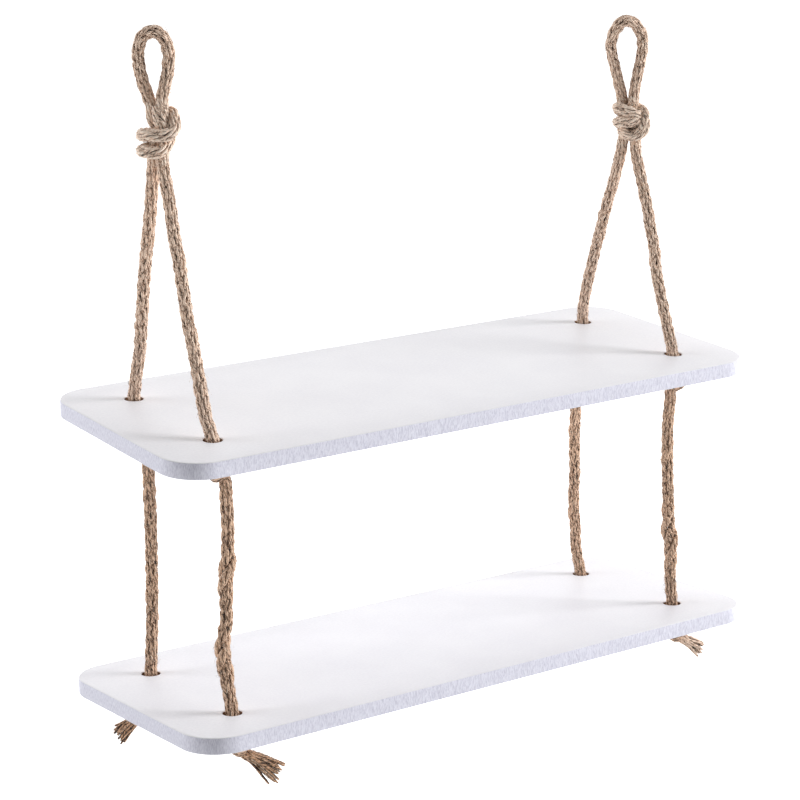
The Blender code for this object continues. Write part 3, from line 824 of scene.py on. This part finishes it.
def bare_bore():
    """Raw brown wood inside the drilled holes, dark and ringed by the drill."""
    material = bpy.data.materials.new("bare drilled wood")
    material.use_nodes = True
    tree = material.node_tree
    shader = tree.nodes["Principled BSDF"]
    place = tree.nodes.new("ShaderNodeAttribute")
    place.attribute_name = "board"
    drawn = tree.nodes.new("ShaderNodeMapping")
    drawn.inputs["Scale"].default_value = (0.25, 0.25, 1.0)
    tree.links.new(place.outputs["Vector"], drawn.inputs["Vector"])
    rings = tree.nodes.new("ShaderNodeTexNoise")
    rings.inputs["Scale"].default_value = 1400.0
    rings.inputs["Detail"].default_value = 3.0
    tree.links.new(drawn.outputs["Vector"], rings.inputs["Vector"])
    colour = colour_steps(
        tree, rings.outputs["Fac"], ((0.38, (0.10, 0.045, 0.02)), (0.66, (0.30, 0.16, 0.08))),
    )
    tree.links.new(colour, shader.inputs["Base Color"])
    shader.inputs["Roughness"].default_value = 0.9
    bump = tree.nodes.new("ShaderNodeBump")
    bump.inputs["Strength"].default_value = 0.5
    bump.inputs["Distance"].default_value = 0.0002
    tree.links.new(rings.outputs["Fac"], bump.inputs["Height"])
    tree.links.new(bump.outputs["Normal"], shader.inputs["Normal"])
    return material


BOARD_FINISHES = (painted_face(), sawn_edge_and_shade(), bare_bore())


def select_edges(body, wanted):
    """In edit mode, selects only the edges that the test accepts, from their two ends."""
    bpy.ops.mesh.select_mode(type="EDGE")
    bpy.ops.mesh.select_all(action="DESELECT")
    work = bmesh.from_edit_mesh(body.data)
    for edge in work.edges:
        edge.select_set(wanted(edge.verts[0].co, edge.verts[1].co))
    bmesh.update_edit_mesh(body.data)


def add_drill(place):
    """A cutter as wide as a hole, flared where it passes the two faces of the board."""
    bpy.ops.object.select_all(action="DESELECT")
    bpy.ops.mesh.primitive_cylinder_add(
        vertices=48, radius=HOLE_RADIUS, depth=BOARD_THICKNESS - 2 * RIM, location=place,
    )
    drill = bpy.context.active_object
    bpy.ops.object.transform_apply(location=True, rotation=False, scale=False)
    flared = 1.0 + RIM / HOLE_RADIUS
    bpy.ops.object.mode_set(mode="EDIT")
    for upwards in (1.0, -1.0):
        for rise, size in ((RIM, flared), (0.002, 1.0)):
            bpy.ops.mesh.select_mode(type="FACE")
            bpy.ops.mesh.select_all(action="DESELECT")
            work = bmesh.from_edit_mesh(drill.data)
            cap = max(work.faces, key=lambda face: face.calc_center_median().z * upwards)
            cap.select_set(True)
            bmesh.update_edit_mesh(drill.data)
            bpy.ops.mesh.extrude_region_move(
                TRANSFORM_OT_translate={"value": (0.0, 0.0, rise * upwards)}
            )
            middle = (place[0], place[1], 0.0)
            bpy.ops.transform.resize(value=(size, size, 1.0), center_override=middle)
    bpy.ops.object.mode_set(mode="OBJECT")
    return drill


def add_board(name, node, place, tilt):
    bpy.ops.object.select_all(action="DESELECT")
    bpy.ops.mesh.primitive_cube_add(
        size=1.0, location=(0.0, 0.0, -BOARD_THICKNESS / 2),
        scale=(BOARD_LENGTH, BOARD_WIDTH, BOARD_THICKNESS),
    )
    board = bpy.context.active_object
    board.name = board.data.name = name
    bpy.ops.object.transform_apply(location=True, rotation=False, scale=True)
    bpy.ops.object.mode_set(mode="EDIT")
    select_edges(board, lambda a, b: abs(a.z - b.z) > BOARD_THICKNESS / 2)
    bpy.ops.mesh.bevel(offset=CORNER_RADIUS, segments=20, affect="EDGES")
    select_edges(board, lambda a, b: abs(a.z - b.z) < 1e-5)
    bpy.ops.mesh.bevel(offset=0.0008, segments=3, affect="EDGES")
    bpy.ops.object.mode_set(mode="OBJECT")
    drills = []
    for across, along in HOLES.values():
        drills.append(add_drill((across * HOLE_ACROSS, along * HOLE_ALONG, -BOARD_THICKNESS / 2)))
    bpy.ops.object.select_all(action="DESELECT")
    bpy.context.view_layer.objects.active = board
    board.select_set(True)
    for drill in drills:
        bore = board.modifiers.new("hole", "BOOLEAN")
        bore.operation = "DIFFERENCE"
        bore.solver = "EXACT"
        bore.object = drill
        bpy.ops.object.modifier_apply(modifier=bore.name)
        bpy.data.objects.remove(drill, do_unlink=True)
    for finish in BOARD_FINISHES:
        board.data.materials.append(finish)
    for face in board.data.polygons:
        x, y, z = face.center
        off_hole = math.hypot(abs(x) - HOLE_ACROSS, abs(y) - HOLE_ALONG)
        upright = abs(face.normal.z) < 0.5
        if upright:
            face.material_index = 2 if off_hole < 1.2 * HOLE_RADIUS else 1
    places = board.data.attributes.new("board", "FLOAT_VECTOR", "POINT")
    for vertex in board.data.vertices:
        places.data[vertex.index].vector = vertex.co
    bpy.ops.object.shade_smooth_by_angle(angle=math.radians(35.0))
    board.location = place
    board.rotation_euler = tilt
    bpy.ops.object.transform_apply(location=True, rotation=True, scale=False)
    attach(board, "root")
    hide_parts(node)
    return board


add_board("lower_painted_board", "lower_board", LOWER_TOP, Euler((0.0, 0.0, 0.0)))
add_board("upper_painted_board", "upper_board", UPPER_TOP, UPPER_TILT)


# The studio: a pale floor far under the hanging shelf and an even white surround, bright
# behind and above and dim on the viewer's side, with a soft light from each side. The right
# one lays faint shadows of the ropes to the left.
floor_finish = bpy.data.materials.new("pale floor")
floor_finish.use_nodes = True
floor_shader = floor_finish.node_tree.nodes["Principled BSDF"]
floor_shader.inputs["Base Color"].default_value = (0.9, 0.9, 0.9, 1.0)
floor_shader.inputs["Roughness"].default_value = 1.0
floor_shader.inputs["Specular IOR Level"].default_value = 0.0
floor_shader.inputs["Emission Color"].default_value = (1.0, 1.0, 1.0, 1.0)
seen_floor = floor_finish.node_tree.nodes.new("ShaderNodeLightPath")
floor_finish.node_tree.links.new(
    seen_floor.outputs["Is Camera Ray"], floor_shader.inputs["Emission Strength"]
)
bpy.ops.object.select_all(action="DESELECT")
bpy.ops.mesh.primitive_plane_add(size=40.0, location=(0.0, 0.0, -0.9))
floor = bpy.context.active_object
floor.name = "pale_floor"
floor.data.materials.append(floor_finish)

world = bpy.data.worlds.new("white surround")
bpy.context.scene.world = world
world.use_nodes = True
sky = world.node_tree
towards = sky.nodes.new("ShaderNodeTexCoord")
behind = sky.nodes.new("ShaderNodeVectorMath")
behind.operation = "DOT_PRODUCT"
behind.inputs[1].default_value = (0.56, 0.75, 0.35)
sky.links.new(towards.outputs["Generated"], behind.inputs[0])
glow = sky.nodes.new("ShaderNodeMapRange")
glow.inputs["From Min"].default_value = -0.34
glow.inputs["From Max"].default_value = 0.8
glow.inputs["To Min"].default_value = 0.0
glow.inputs["To Max"].default_value = 1.22
sky.links.new(behind.outputs["Value"], glow.inputs["Value"])
looked = sky.nodes.new("ShaderNodeLightPath")
strength = math_node(sky, "MAXIMUM", glow.outputs["Result"], looked.outputs["Is Camera Ray"])
sky.links.new(strength, sky.nodes["Background"].inputs["Strength"])
sky.nodes["Background"].inputs["Color"].default_value = (1.0, 1.0, 1.0, 1.0)


def add_light(name, place, size, power):
    """A square soft light that looks at the middle of the shelf."""
    bpy.ops.object.light_add(type="AREA", location=place)
    light = bpy.context.active_object
    light.name = name
    light.data.shape = "SQUARE"
    light.data.size = size
    light.data.energy = power
    aim = Vector((0.0, 0.0, -0.2)) - Vector(place)
    light.rotation_euler = aim.to_track_quat("-Z", "Y").to_euler()


add_light("right_soft_light", (2.46, -1.74, 0.90), 1.24, 88.0)
add_light("left_soft_light", (-1.25, 0.80, 0.28), 0.9, 11.0)
bpy.context.scene.view_settings.view_transform = "Standard"
